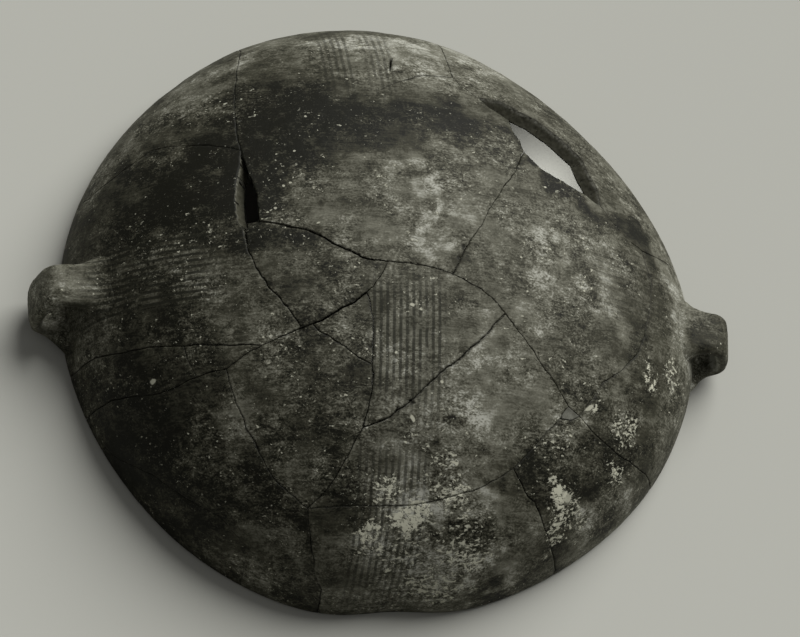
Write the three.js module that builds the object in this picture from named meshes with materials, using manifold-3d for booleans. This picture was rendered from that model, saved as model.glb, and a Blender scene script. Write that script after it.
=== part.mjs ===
// A large hand-built pottery bowl, mended from its sherds, with two strap handles.
// It lies mouth down on its rim: +Z points out of the round base, +X to one handle,
// and the other handle is opposite. All sizes are in millimetres.

import * as THREE from 'three';
import { mergeVertices } from 'three/addons/utils/BufferGeometryUtils.js';
import Module from 'manifold-3d';

const wasm = await Module();
wasm.setup();

// Driving dimensions of the bowl
const RIM_RADIUS = 150;          // mean outside radius at the rim
const DEPTH = 87;                // rim plane to the outside of the base
const FULLNESS = 2.06;           // 2 is a plain ellipse, more is fuller
const WALL = 5.4;                // wall at the rim
const BASE_WALL = 6.8;           // wall in the middle of the base
const LIP_ROUND = 1.7;           // rounding of the lip on each side
const BASE_SPOT = 22;            // radius of the spot worn flat under the base

// How far the hand-built wall runs out of round: waves per turn, cosine and sine parts
const OUT_OF_ROUND = [[2, 0.6, -1.5], [3, 2.0, -0.8], [4, 1.4, -0.8]];
// One stretch of the rim is pressed in: bearing in degrees, depth, spread in degrees
const RIM_DENT = { bearing: 272, depth: 4.5, spread: 9 };

// Joints between sherds
const JOINT = 0.35;              // a closed joint
const OPEN_JOINT = 1.0;          // a joint whose edges have crumbled
const BREAK_STEP = 8;            // spacing of the kinks along a broken edge
const BREAK_WANDER = 0.45;       // how far the kinks leave the straight line
const PAST_RIM = 97;             // dip of outline corners that lie beyond the lip

// Strap handles, which spread and thicken into the wall at both roots
const STRAP_THICKNESS = 6.8;
const SHOULDER_ROOT = { spread: 8, swell: 6.5 };
const RIM_ROOT = { spread: 19, swell: 4.5 };
const ROOT_REACH = 11;           // how far from the wall a root starts to spread
const STRAP_FOOT = 6.6;          // height of the middle of the strap at the rim
const HANDLE_GAP = 0.3;          // joint between a handle and the wall

const BOWL_FACETS = 72;          // facets round the bowl
const WALL_RINGS = 14;           // rings from the base to the lip
const STRAP_RINGS = 22;          // rings along a handle
const STRAP_SIDES = 18;          // sides of a ring

const rad = THREE.MathUtils.degToRad;

// The bowl's surface

// Outside radius at the rim for a bearing in degrees
function rimRadius(bearing) {
  let radius = RIM_RADIUS;
  for (const [waves, cosine, sine] of OUT_OF_ROUND) {
    radius += cosine * Math.cos(waves * rad(bearing)) + sine * Math.sin(waves * rad(bearing));
  }
  const off = THREE.MathUtils.euclideanModulo(bearing - RIM_DENT.bearing + 180, 360) - 180;
  return radius - RIM_DENT.depth * Math.exp(-((off / RIM_DENT.spread) ** 2));
}

// Radius of a round wall of the given rim radius and depth, at a height
function wallRadius(rim, depth, height) {
  return rim * (1 - Math.min(1, height / depth) ** FULLNESS) ** (1 / FULLNESS);
}

// A direction from the middle of the mouth: bearing round the bowl, dip down from the base
function direction([bearing, dip]) {
  return new THREE.Vector3(
    Math.sin(rad(dip)) * Math.cos(rad(bearing)),
    Math.sin(rad(dip)) * Math.sin(rad(bearing)),
    Math.cos(rad(dip)),
  );
}

// Distance from the middle of the mouth to the outside, along a direction
function reach(dir) {
  const rim = rimRadius(THREE.MathUtils.radToDeg(Math.atan2(dir.y, dir.x)));
  const flat = Math.hypot(dir.x, dir.y) / rim;
  return (flat ** FULLNESS + Math.abs(dir.z / DEPTH) ** FULLNESS) ** (-1 / FULLNESS);
}

// Solids

// A closed geometry as a solid that can be cut and joined
function solid(geometry) {
  const bare = geometry.clone();
  bare.deleteAttribute('normal');
  bare.deleteAttribute('uv');
  const merged = mergeVertices(bare, 1e-4);
  const mesh = new wasm.Mesh({
    numProp: 3,
    vertProperties: new Float32Array(merged.attributes.position.array),
    triVerts: new Uint32Array(merged.index.array),
  });
  return new wasm.Manifold(mesh);
}

// A solid back as a geometry
function geometryOf(body) {
  const mesh = body.getMesh();
  const geometry = new THREE.BufferGeometry();
  geometry.setAttribute('position', new THREE.BufferAttribute(mesh.vertProperties, 3));
  geometry.setIndex(new THREE.BufferAttribute(mesh.triVerts, 1));
  geometry.computeVertexNormals();
  return geometry;
}

// Joins equal rings of points into a skin, closed at both ends
function loft(rings) {
  const count = rings[0].length;
  const points = rings.flat();
  const index = [];
  for (let r = 0; r + 1 < rings.length; r++) {
    for (let i = 0; i < count; i++) {
      const a = r * count + i;
      const b = r * count + (i + 1) % count;
      index.push(a, b, b + count, a, b + count, a + count);
    }
  }
  const last = (rings.length - 1) * count;
  for (let i = 1; i + 1 < count; i++) {
    index.push(0, i + 1, i, last, last + i, last + i + 1);
  }
  const geometry = new THREE.BufferGeometry().setFromPoints(points);
  geometry.setIndex(index);
  return geometry;
}

// A round profile of radius and height pairs, turned and then pulled out of round
function turned(profile) {
  const points = profile.map(([radius, height]) => new THREE.Vector2(radius, height));
  const geometry = new THREE.LatheGeometry(points, BOWL_FACETS);
  geometry.rotateX(Math.PI / 2);
  const place = geometry.attributes.position;
  for (let i = 0; i < place.count; i++) {
    const [x, y] = [place.getX(i), place.getY(i)];
    const pull = rimRadius(THREE.MathUtils.radToDeg(Math.atan2(y, x))) / RIM_RADIUS;
    place.setXY(i, x * pull, y * pull);
  }
  return geometry;
}

// Heights of the rings down a wall, closer together where it steepens
function ringHeights(top, foot) {
  return Array.from({ length: WALL_RINGS }, (_, i) => {
    const turn = (Math.PI / 2) * ((i + 1) / WALL_RINGS);
    return foot + (top - foot) * Math.cos(turn);
  });
}

// The whole bowl: inside down to the lip, round it, and up the outside
function bowlShell() {
  const spot = DEPTH * (1 - (BASE_SPOT / RIM_RADIUS) ** FULLNESS) ** (1 / FULLNESS);
  const insideDepth = DEPTH - BASE_WALL;
  const inner = RIM_RADIUS - WALL;
  const outside = ringHeights(spot, LIP_ROUND)
    .map((height) => [wallRadius(RIM_RADIUS, DEPTH, height), height]);
  const inside = ringHeights(insideDepth, LIP_ROUND)
    .map((height) => [wallRadius(inner, insideDepth, height), height]);
  const corner = LIP_ROUND * (1 - Math.SQRT1_2);
  return solid(turned([
    [0, insideDepth],
    ...inside,
    [inner + corner, corner],
    [inner + LIP_ROUND, 0],
    [RIM_RADIUS - LIP_ROUND, 0],
    [RIM_RADIUS - corner, corner],
    ...outside.reverse(),
    [BASE_SPOT, spot],
    [0, spot],
  ]));
}

// Where the breaks meet: bearing round the bowl, and dip down from the base, in degrees
const JUNCTIONS = {
  gapTop: [146, 52], gapCorner: [171, 41.5], tongueTip: [172.3, 44], gapFoot: [181, 44],
  baseKnot: [221, 9], innerKnot: [230, 20.6], midKnot: [221.6, 36.8], leftKnot: [220, 39.4],
  wedgeTop: [216.2, 48.4], forkKnot: [215.4, 56.7], wedgeFoot: [212.4, 62],
  wedgeTip: [204.3, 61.3], paintKnot: [252.5, 37], bandFoot: [256, 50.8],
  southKnot: [250, 67.8], tailKnot: [297.6, 60.9], crossKnot: [326.5, 15.1],
  rightKnot: [326.2, 32.7], patchTop: [318.8, 56.9], patchLeft: [314.9, 57.4],
  patchRight: [319.8, 59.7], chipKnot: [343.4, 63.7], eastKnot: [10.4, 66],
  gapEast: [22.2, 59.1], gapWest: [66.8, 56.3], gapLip: [45.7, 49.4],
  northKnot: [74.8, 59.9], rimKnot: [243, 79.4],
  rimEast: [9, PAST_RIM], rimNorth: [82, PAST_RIM], rimNorthWest: [112, PAST_RIM],
  rimWest: [163, PAST_RIM], rimHandle: [194, PAST_RIM], rimWedge: [201.5, PAST_RIM],
  rimStrip: [208.5, PAST_RIM], rimStripEnd: [245.5, PAST_RIM], rimSouth: [260, PAST_RIM],
  rimSouthEast: [305, PAST_RIM], rimEastLow: [331, PAST_RIM],
};

// Bends of each break between two junctions; a break that isn't here runs straight
const BENDS = {
  'rimNorthWest gapTop': [[118.5, 78], [122.5, 72], [127, 67], [132, 62.5], [140.5, 56]],
  'gapTop gapFoot': [[152, 50], [158.5, 49], [163.5, 48], [171, 46.5], [174.5, 45]],
  'gapTop gapCorner': [[150.5, 49], [155.5, 46], [160.5, 43.5], [167, 42]],
  'tongueTip gapFoot': [[176, 44]],
  'gapFoot leftKnot': [[189.5, 42.5], [198.5, 41], [204.5, 39.7], [212, 39.2]],
  'gapCorner baseKnot': [[171, 37.5], [172.5, 30.5], [175, 27], [181.5, 23], [189, 18.5],
    [202, 14.5]],
  'baseKnot innerKnot': [[226.5, 12], [230.5, 18]],
  'innerKnot midKnot': [[227.5, 26], [225, 29], [223.5, 34]],
  'midKnot paintKnot': [[226, 36.8], [240, 36.2], [247, 36.7]],
  'innerKnot paintKnot': [[237.5, 23], [243, 25.5], [247.5, 29], [250, 32.7]],
  'paintKnot bandFoot': [[254.5, 39.5], [255.7, 43.5], [256, 48]],
  'bandFoot rightKnot': [[263, 48], [270, 44], [280, 38.7], [285.5, 36.6], [292.5, 35.5],
    [299.5, 34], [310, 33.2]],
  'baseKnot crossKnot': [[271, 6], [316.5, 9.8]],
  'crossKnot rightKnot': [[329, 19.5], [329.5, 27.5]],
  'rightKnot patchTop': [[325, 35.6], [322, 43], [320.4, 50]],
  'patchLeft patchRight': [[317.4, 59.3]],
  'patchRight chipKnot': [[325.3, 59.5], [331, 59.4], [337, 61.5]],
  'chipKnot eastKnot': [[350, 64.3], [0.7, 66]],
  'gapEast eastKnot': [[18.7, 59.8], [14.5, 61], [12, 63.5]],
  'eastKnot rimEast': [[10, 68.6]],
  'gapWest gapEast': [[61.5, 59.3], [56.5, 60.2], [51.5, 61.8], [46, 62.6], [37, 63.6],
    [32, 62], [27, 61.3]],
  'gapWest gapLip': [[62.7, 54.9], [56, 54.7], [53, 52.6], [49, 51.3]],
  'gapLip gapEast': [[38.2, 49.6], [33.4, 51.6], [25.2, 57]],
  'crossKnot gapLip': [[338.5, 15.1], [348.5, 15.2], [2.6, 16.7], [21, 22.8], [31, 28],
    [38.4, 36], [40.3, 40.3]],
  'rimNorth northKnot': [[77.5, 69.7], [76.8, 66.3]],
  'northKnot gapWest': [[72.3, 57.6]],
  'rimWest gapTop': [[162, 84.8], [162.3, 80.6], [159.5, 76], [154.3, 71], [152.3, 69.6],
    [148, 58.5]],
  'wedgeTop wedgeTip': [[212, 52.1], [209, 55.4]],
  'wedgeTip rimHandle': [[200.5, 67.7], [196, 78.7]],
  'leftKnot wedgeTop': [[218.2, 43.2]],
  'wedgeTop forkKnot': [[215.1, 52.8]],
  'wedgeFoot rimWedge': [[211.3, 66.8], [210, 70], [205, 79]],
  'bandFoot southKnot': [[254.7, 55], [253, 61.6]],
  'forkKnot southKnot': [[221.4, 58.7], [229.7, 61.6], [241.3, 66]],
  'southKnot rimSouth': [[252.6, 72.5], [254.3, 76], [257.5, 82]],
  'southKnot tailKnot': [[257.3, 65.3], [272.3, 64.2], [286.8, 62.4]],
  'tailKnot patchLeft': [[305, 59]],
  'tailKnot rimSouthEast': [[299, 67], [300, 68.2], [301, 74]],
  'patchRight rimEastLow': [[320, 63.3], [322, 69.6], [326.8, 80]],
  'rimStrip rimKnot': [[210, 87.5], [214, 84.8], [220.5, 80.5], [229, 78.3], [235.5, 76.8]],
};

// Joints that stand open, and sides of the two missing pieces, which lose nothing
const OPEN_JOINTS = ['gapCorner baseKnot', 'bandFoot rightKnot', 'innerKnot midKnot'];
const GAP_SIDES = ['gapTop gapFoot', 'gapTop gapCorner', 'gapCorner tongueTip',
  'tongueTip gapFoot', 'gapWest gapEast', 'gapWest gapLip', 'gapLip gapEast'];

// Cracks that end inside a sherd: a width and a line of bearings and dips
const CRACKS = [
  { sherd: 'sherd_crown', width: 0.6, line: [[75.2, 59.4], [82.6, 57.2], [96, 51]] },
  { sherd: 'sherd_crown', width: 1.2, line: [[90.5, 61.7], [91.7, 57.1]] },
];

// Each sherd's outline, from junction to junction
const SHERDS = {
  sherd_crown: ['gapTop', 'gapCorner', 'baseKnot', 'crossKnot', 'gapLip', 'gapWest',
    'northKnot', 'rimNorth', 'rimNorthWest'],
  sherd_rim_north_west: ['gapTop', 'rimNorthWest', 'rimWest'],
  sherd_rim_north_east: ['rimEast', 'rimNorth', 'northKnot', 'gapWest', 'gapEast', 'eastKnot'],
  sherd_handle_west: ['gapTop', 'rimWest', 'rimHandle', 'wedgeTip', 'wedgeTop', 'leftKnot',
    'gapFoot'],
  sherd_handle_east: ['rimEastLow', 'rimEast', 'eastKnot', 'chipKnot', 'patchRight'],
  sherd_shoulder_east: ['crossKnot', 'rightKnot', 'patchTop', 'patchRight', 'chipKnot',
    'eastKnot', 'gapEast', 'gapLip'],
  sherd_tongue: ['gapFoot', 'leftKnot', 'midKnot', 'innerKnot', 'baseKnot', 'gapCorner',
    'tongueTip'],
  sherd_small_triangle: ['midKnot', 'paintKnot', 'innerKnot'],
  sherd_painted_band: ['innerKnot', 'paintKnot', 'bandFoot', 'rightKnot', 'crossKnot',
    'baseKnot'],
  sherd_belly_west: ['leftKnot', 'wedgeTop', 'forkKnot', 'southKnot', 'bandFoot',
    'paintKnot', 'midKnot'],
  sherd_belly_east: ['bandFoot', 'southKnot', 'tailKnot', 'patchLeft', 'patchTop',
    'rightKnot'],
  sherd_wedge: ['wedgeTop', 'wedgeTip', 'wedgeFoot', 'forkKnot'],
  sherd_rim_wedge: ['wedgeTip', 'rimHandle', 'rimWedge', 'wedgeFoot'],
  sherd_rim_south_west: ['wedgeFoot', 'rimWedge', 'rimStrip', 'rimKnot', 'rimStripEnd',
    'rimSouth', 'southKnot', 'forkKnot'],
  sherd_rim_strip: ['rimStrip', 'rimStripEnd', 'rimKnot'],
  sherd_rim_south: ['southKnot', 'rimSouth', 'rimSouthEast', 'tailKnot'],
  sherd_rim_south_east: ['patchLeft', 'tailKnot', 'rimSouthEast', 'rimEastLow', 'patchRight'],
  infill_patch: ['patchTop', 'patchLeft', 'patchRight'],
};

// Handles: bearing of the middle, width of the strap, height where it leaves the wall, and
// how far its middle stands out from the rim at its upper and lower corner
const HANDLES = {
  handle_east: { bearing: -2.7, width: 21.5, top: 29, outTop: 14, outFoot: 17 },
  handle_west: { bearing: 183, width: 21, top: 36, outTop: 9.5, outFoot: 12.5 },
};

// Looks of the fired clay, darker where the slip is kept
const SHADES = [0x55534b, 0x4c4a43, 0x5d5a51, 0x514f47];
const INFILL_SHADE = 0x6b675c;
const HANDLE_SHADE = 0x504e46;

// Breaks

// A steady number from -1 to 1 for a place along a named break
function wander(name, step) {
  let seed = step * 7.31;
  for (const letter of name) seed += letter.charCodeAt(0) * 1.37;
  const wave = Math.sin(seed * 12.9898) * 43758.5453;
  return 2 * (wave - Math.floor(wave)) - 1;
}

// The break between two junctions as directions, kinked on a small scale
function breakLine(name) {
  const [from, to] = name.split(' ');
  const corners = [JUNCTIONS[from], ...(BENDS[name] ?? []), JUNCTIONS[to]].map(direction);
  const line = [corners[0]];
  for (let i = 1; i < corners.length; i++) {
    const [a, b] = [corners[i - 1], corners[i]];
    const side = new THREE.Vector3().crossVectors(a, b).normalize();
    const length = a.angleTo(b) * reach(a.clone().add(b).normalize());
    const steps = Math.max(1, Math.round(length / BREAK_STEP));
    for (let s = 1; s <= steps; s++) {
      const point = a.clone().lerp(b, s / steps).normalize();
      if (s < steps) {
        const off = BREAK_WANDER * wander(name, i * 31 + s) / reach(point);
        point.addScaledVector(side, off).normalize();
      }
      line.push(point);
    }
  }
  return line;
}

// Half the width that a sherd loses along one of its sides
function sideLoss(name) {
  if (GAP_SIDES.includes(name) || name.startsWith('rim') && !(name in BENDS)) return 0;
  return (OPEN_JOINTS.includes(name) ? OPEN_JOINT : JOINT) / 2;
}

// The side between two junctions, read forwards or backwards
function side(from, to) {
  const backward = `${to} ${from}` in BENDS
    || GAP_SIDES.includes(`${to} ${from}`)
    || !(`${from} ${to}` in BENDS) && !GAP_SIDES.includes(`${from} ${to}`) && to < from;
  const name = backward ? `${to} ${from}` : `${from} ${to}`;
  const line = breakLine(name);
  return { line: backward ? line.reverse() : line, loss: sideLoss(name) };
}

// A sherd's outline as directions, drawn in by half of each joint
function outline(ring) {
  const points = [];
  const losses = [];
  ring.forEach((from, i) => {
    const { line, loss } = side(from, ring[(i + 1) % ring.length]);
    line.slice(0, -1).forEach((point) => {
      points.push(point);
      losses.push(loss);
    });
  });
  const count = points.length;
  const normals = points.map((point, i) => new THREE.Vector3()
    .crossVectors(point, points[(i + 1) % count]).normalize());
  return points.map((point, i) => {
    const before = (i + count - 1) % count;
    const [m, n] = [normals[before], normals[i]];
    const [p, q] = [losses[before] / reach(point), losses[i] / reach(point)];
    const cosine = Math.min(0.98, m.dot(n));
    const scale = 1 - cosine * cosine;
    const move = m.clone().multiplyScalar((p - cosine * q) / scale)
      .addScaledVector(n, (q - cosine * p) / scale);
    const most = 4 * Math.max(p, q, 1e-9);
    return point.clone().add(move.clampLength(0, most)).normalize();
  });
}

// The cone from the middle of the mouth through an outline, cut off near and far
function cone(directions, near = 20, far = 420) {
  const centre = directions.reduce((sum, dir) => sum.add(dir), new THREE.Vector3()).normalize();
  const across = new THREE.Vector3().crossVectors(centre, new THREE.Vector3(0.3, 0.9, 0.2))
    .normalize();
  const along = new THREE.Vector3().crossVectors(centre, across);
  const flat = directions.map((dir) => {
    const spread = dir.angleTo(centre);
    const plane = new THREE.Vector2(dir.dot(across), dir.dot(along));
    return plane.setLength(spread);
  });
  const faces = THREE.ShapeUtils.triangulateShape(flat, []);
  const count = directions.length;
  const points = [near, far]
    .flatMap((distance) => directions.map((dir) => dir.clone().multiplyScalar(distance)));
  const index = [];
  for (let i = 0; i < count; i++) {
    const j = (i + 1) % count;
    index.push(i, j, j + count, i, j + count, i + count);
  }
  for (const [a, b, c] of faces) {
    const wound = flat[b].clone().sub(flat[a]).cross(flat[c].clone().sub(flat[a])) > 0;
    const [u, v] = wound === (THREE.ShapeUtils.area(flat) > 0) ? [b, c] : [c, b];
    index.push(a, v, u, a + count, u + count, v + count);
  }
  const geometry = new THREE.BufferGeometry().setFromPoints(points);
  geometry.setIndex(index);
  return solid(geometry);
}

// A thin wedge through the wall along an open line
function crackCone({ width, line }) {
  const dirs = line.map(direction);
  const sides = [1, -1].map((sign) => dirs.map((dir, i) => {
    const along = dirs[Math.min(i + 1, dirs.length - 1)].clone().sub(dirs[Math.max(i - 1, 0)]);
    const across = new THREE.Vector3().crossVectors(dir, along).normalize();
    const taper = i === dirs.length - 1 ? 0.35 : 1;
    return dir.clone().addScaledVector(across, sign * taper * width / 2 / reach(dir)).normalize();
  }));
  return cone([...sides[1], ...sides[0].reverse()]);
}

// Strap handles

// One ring of a strap: a rounded rectangle square to its path
function strapRing(centre, tangent, width, thickness) {
  const across = new THREE.Vector3(0, 1, 0);
  const out = new THREE.Vector3().crossVectors(tangent, across);
  return Array.from({ length: STRAP_SIDES }, (_, i) => {
    const turn = 2 * Math.PI * i / STRAP_SIDES;
    const [c, s] = [Math.cos(turn), Math.sin(turn)];
    return centre.clone()
      .addScaledVector(across, Math.sign(c) * Math.abs(c) ** 0.55 * width / 2)
      .addScaledVector(out, Math.sign(s) * Math.abs(s) ** 0.7 * thickness / 2);
  });
}

// A strap that leaves the wall on the shoulder and comes back to it at the rim
function strap({ bearing, width, top, outTop, outFoot }) {
  const rim = rimRadius(bearing);
  const root = wallRadius(rim, DEPTH, top);
  const [crest, toe] = [RIM_RADIUS + outTop, RIM_RADIUS + outFoot];
  const route = [
    [root - 8, top - 1.5], [root, top], [crest - 6, top + 0.8], [crest - 1, top - 1.5],
    [crest + 0.5, top - 6], [toe, STRAP_FOOT + 9], [toe - 1, STRAP_FOOT + 2.5],
    [toe - 5, STRAP_FOOT], [rim, STRAP_FOOT - 0.5], [rim - 8, STRAP_FOOT + 1],
  ];
  const path = new THREE.CatmullRomCurve3(route.map(([x, z]) => new THREE.Vector3(x, 0, z)));
  return loft(Array.from({ length: STRAP_RINGS + 1 }, (_, i) => {
    const centre = path.getPointAt(i / STRAP_RINGS);
    const off = centre.x - wallRadius(rim, DEPTH, centre.z);
    const flare = (1 - THREE.MathUtils.clamp(off / ROOT_REACH, 0, 1)) ** 2;
    const end = 2 * i < STRAP_RINGS ? SHOULDER_ROOT : RIM_ROOT;
    return strapRing(
      centre,
      path.getTangentAt(i / STRAP_RINGS),
      width + end.spread * flare,
      STRAP_THICKNESS + end.swell * flare,
    );
  }));
}

// Everything inside the wall, a little enlarged, so that a handle only touches the outside
function bowlCore() {
  const heights = ringHeights(DEPTH, 0);
  const profile = heights.map((height) => [wallRadius(RIM_RADIUS, DEPTH, height), height]);
  const core = turned([[0, -30], [RIM_RADIUS, -30], ...profile.reverse(), [0, DEPTH]]);
  const grow = 1 + HANDLE_GAP / RIM_RADIUS;
  core.scale(grow, grow, 1 + HANDLE_GAP / DEPTH);
  return solid(core);
}

// The assembly

function clay(color) {
  return new THREE.MeshStandardMaterial({ color, roughness: 0.72, metalness: 0 });
}

function named(name, body, material) {
  const mesh = new THREE.Mesh(geometryOf(body), material);
  mesh.name = name;
  return mesh;
}

const group = new THREE.Group();

const shell = bowlShell();
Object.entries(SHERDS).forEach(([name, ring], i) => {
  let sherd = shell.intersect(cone(outline(ring)));
  for (const crack of CRACKS.filter((one) => one.sherd === name)) {
    sherd = sherd.subtract(crackCone(crack));
  }
  const shade = name === 'infill_patch' ? INFILL_SHADE : SHADES[i % SHADES.length];
  group.add(named(name, sherd, clay(shade)));
});

const core = bowlCore();
for (const [name, handle] of Object.entries(HANDLES)) {
  const geometry = strap(handle).rotateZ(rad(handle.bearing));
  group.add(named(name, solid(geometry).subtract(core), clay(HANDLE_SHADE)));
}

// The origin is under the middle of the whole, on the plane that the rim rests on
const box = new THREE.Box3().setFromObject(group);
const middle = box.getCenter(new THREE.Vector3());
group.position.set(-middle.x, -middle.y, -box.min.z);

export default group;
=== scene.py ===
"""Dresses the solids of a mended bronze age bowl, which lies mouth down on a pale floor.

Every sherd and handle is taken from its solid, given the even curve of the hand-built
wall, worn along its breaks and finished as burnished slip over fired clay.
"""

import math

import bpy
import numpy as np
from bpy.props import FloatProperty, FloatVectorProperty, PointerProperty
from mathutils import Matrix, Vector, noise
from mathutils.bvhtree import BVHTree


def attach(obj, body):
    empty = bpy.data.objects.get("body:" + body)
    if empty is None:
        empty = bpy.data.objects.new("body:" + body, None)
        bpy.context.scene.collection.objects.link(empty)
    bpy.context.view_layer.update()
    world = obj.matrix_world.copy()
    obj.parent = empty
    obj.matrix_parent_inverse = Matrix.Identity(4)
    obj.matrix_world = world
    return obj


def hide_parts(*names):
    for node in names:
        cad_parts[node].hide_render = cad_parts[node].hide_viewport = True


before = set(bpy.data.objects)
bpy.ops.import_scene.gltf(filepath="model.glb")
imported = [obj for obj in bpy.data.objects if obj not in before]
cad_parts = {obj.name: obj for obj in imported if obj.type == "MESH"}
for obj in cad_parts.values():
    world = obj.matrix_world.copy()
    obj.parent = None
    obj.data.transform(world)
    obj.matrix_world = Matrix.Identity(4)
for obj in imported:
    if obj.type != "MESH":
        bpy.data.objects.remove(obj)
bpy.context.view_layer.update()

bl_info = {
    "name": "Mended Bronze Age Bowl",
    "version": (1, 0, 0),
    "blender": (4, 5, 0),
    "location": "View3D > Sidebar > Bowl",
    "description": "Finishes the sherds and strap handles of a mended pottery bowl",
    "category": "Object",
}

MM = 0.001
LIP_HEIGHT = 1.69 * MM      # the lip below this keeps the roundness of its solid
RIM_HELD = 6 * MM           # the rim is bent and dented less and less below this
IN_BREAK = 0.05 * MM        # a point nearer than this to a break lies in it
FAR_FROM_BREAK = 30 * MM    # the distance from a break that is kept is this at most
LEAST_SIDEWAYS = 0.3        # keeps a direction along the wall from growing out of nothing
SHERDS = sorted(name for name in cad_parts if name.startswith("sherd_"))
HANDLES = sorted(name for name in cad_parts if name.startswith("handle_"))
INFILL = "infill_patch"


def linear(code):
    """An sRGB hex colour as the linear colour that Blender works with."""
    parts = [int(code[i:i + 2], 16) / 255 for i in (1, 3, 5)]
    return tuple(p / 12.92 if p <= 0.04045 else ((p + 0.055) / 1.055) ** 2.4 for p in parts)


def length(name, description, default):
    return FloatProperty(name=name, description=description, default=default, unit="LENGTH",
                         precision=5)


def colour(name, description, code):
    return FloatVectorProperty(name=name, description=description, default=linear(code),
                               subtype="COLOR", min=0, max=1)


class BowlForm(bpy.types.PropertyGroup):
    """The shape that the potter gave the bowl, the same as its solids have"""

    mouth: FloatVectorProperty(
        name="Mouth", description="Middle of the mouth, on the plane that the rim rests on",
        default=(-0.002286, -0.001911, 0), subtype="XYZ_LENGTH", precision=6)
    rim_radius: length("Rim radius", "Mean outside radius at the rim", 0.150)
    depth: length("Depth", "Rim plane to the outside of the base", 0.087)
    fullness: FloatProperty(
        name="Fullness", description="2 is a plain ellipse, more is fuller", default=2.06)
    wall: length("Wall", "Thickness of the wall at the rim", 0.0054)
    base_wall: length("Base wall", "Thickness in the middle of the base", 0.0068)
    base_worn: length("Worn base", "Height at which the base is worn flat", 0.0863)


class BowlWear(bpy.types.PropertyGroup):
    """How uneven the wall is, and how much its breaks have lost"""

    mesh_size: length("Mesh size", "Longest edge of a face on the wall", 0.0026)
    break_mesh_size: length("Mesh size at breaks", "Longest edge of a face beside a break", 0.001)
    paddling: length("Paddling", "Height of the broad dents left by the hand", 0.0007)
    pitting: length("Pitting", "Height of the small dents in the surface", 0.00012)
    wander: length("Wander", "How far a break strays from its line on a small scale", 0.00044)
    tight_joint: length("Tight joint", "Width of a joint that is hardly seen", 0.0001)
    plain_joint: length("Plain joint", "Width of a joint between sound edges", 0.00028)
    open_joint: length("Open joint", "Width of a joint whose edges have crumbled", 0.0006)
    handle_mesh_size: length("Handle mesh size", "Size of the faces of a handle", 0.0008)
    edge_loss: length("Edge loss", "Clay lost along a break", 0.00022)
    edge_width: length("Edge width", "How far from a break the edge is worn", 0.0012)
    luting: length("Luting", "Width of the clay smoothed on round a handle's root", 0.005)


class BowlFinish(bpy.types.PropertyGroup):
    """Colours and sizes of what is seen on the surface"""

    cloud: colour("Fire cloud", "Where the fire blackened the slip", "#12120a")
    slip: colour("Slip", "Burnished slip where it is kept", "#38372c")
    worn: colour("Worn slip", "Where the slip is rubbed thin over the clay", "#67665a")
    rubbed: colour("Rubbed clay", "Where the slip is gone and the clay is pale", "#a1a196")
    paint: colour("Paint", "Lines of the brush", "#1c1c14")
    clay: colour("Broken clay", "Body of the wall in a break", "#86857a")
    crust: colour("Lime crust", "Deposit from the ground", "#bab9a6")
    # Also the colour of the painted shade in the chips
    dirt_and_shade: colour("Dirt", "What fills the cracks", "#12120d")
    infill: colour("Infill", "Filling of a chip between sherds", "#6a6a60")
    line_spacing: length("Line spacing", "From one brush line to the next", 0.003)


class BowlStage(bpy.types.PropertyGroup):
    """The floor, the lamps and the camera"""

    floor: colour("Floor", "Pale paper under the bowl", "#ababa3")
    distance: length("Distance", "Camera to the middle of the bowl", 1.6)
    aim_height: length("Aim height", "Height of the point that the camera is turned about", 0.045)
    focal: FloatProperty(name="Focal length", description="In millimetres", default=155.279)
    frame_shift: FloatVectorProperty(
        name="Frame shift", description="Share of the picture's width", size=2,
        default=(0.00917, -0.04279), precision=5)
    azimuth: FloatProperty(name="Azimuth", default=math.radians(-23.789), subtype="ANGLE",
                           description="Camera's bearing, from straight in front")
    elevation: FloatProperty(name="Elevation", default=math.radians(61.639), subtype="ANGLE",
                             description="Camera's height above the floor")
    roll: FloatProperty(name="Roll", default=math.radians(25.053), subtype="ANGLE",
                        description="Turn of the picture")


# Form of the wall

def share_of_reach(points, rim, depth):
    """Each point's distance from the middle of the mouth, as a share of the wall's there."""
    form = bpy.context.scene.bowl_form
    bearing = np.arctan2(points[:, 1], points[:, 0])
    pull = rim_radius(bearing) / form.rim_radius
    flat = np.hypot(points[:, 0], points[:, 1]) / (rim * pull)
    rise = np.abs(points[:, 2]) / depth
    return (flat ** form.fullness + rise ** form.fullness) ** (1 / form.fullness)


def rim_radius(bearing):
    """Outside radius at the rim: the bowl is out of round, and pressed in at one place."""
    waves = ((2, 0.6, -1.5), (3, 2.0, -0.8), (4, 1.4, -0.8))
    dent_bearing, dent_depth, dent_spread = 272, 4.5 * MM, 9
    radius = bpy.context.scene.bowl_form.rim_radius + MM * sum(
        cosine * np.cos(count * bearing) + sine * np.sin(count * bearing)
        for count, cosine, sine in waves)
    off = (np.degrees(bearing) - dent_bearing + 180) % 360 - 180
    return radius - dent_depth * np.exp(-((off / dent_spread) ** 2))


def outside_share(points):
    form = bpy.context.scene.bowl_form
    return share_of_reach(points, form.rim_radius, form.depth)


def inside_share(points):
    form = bpy.context.scene.bowl_form
    return share_of_reach(points, form.rim_radius - form.wall, form.depth - form.base_wall)


# Mesh tools

def mouth():
    """Middle of the mouth. Points in an array are measured from it."""
    return np.array(bpy.context.scene.bowl_form.mouth)


def read_vertices(mesh, field):
    flat = np.empty(len(mesh.vertices) * 3)
    mesh.vertices.foreach_get(field, flat)
    return flat.reshape(-1, 3)


def read_points(mesh):
    """A mesh's points, measured from the middle of the mouth."""
    return read_vertices(mesh, "co") - mouth()


def write_points(mesh, points):
    mesh.vertices.foreach_set("co", (points + mouth()).ravel())
    mesh.update()


def read_normals(mesh):
    return read_vertices(mesh, "normal")


def in_frame(points):
    """Points that were measured from the mouth, in millimetres in the frame."""
    return (points + mouth()) / MM


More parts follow.
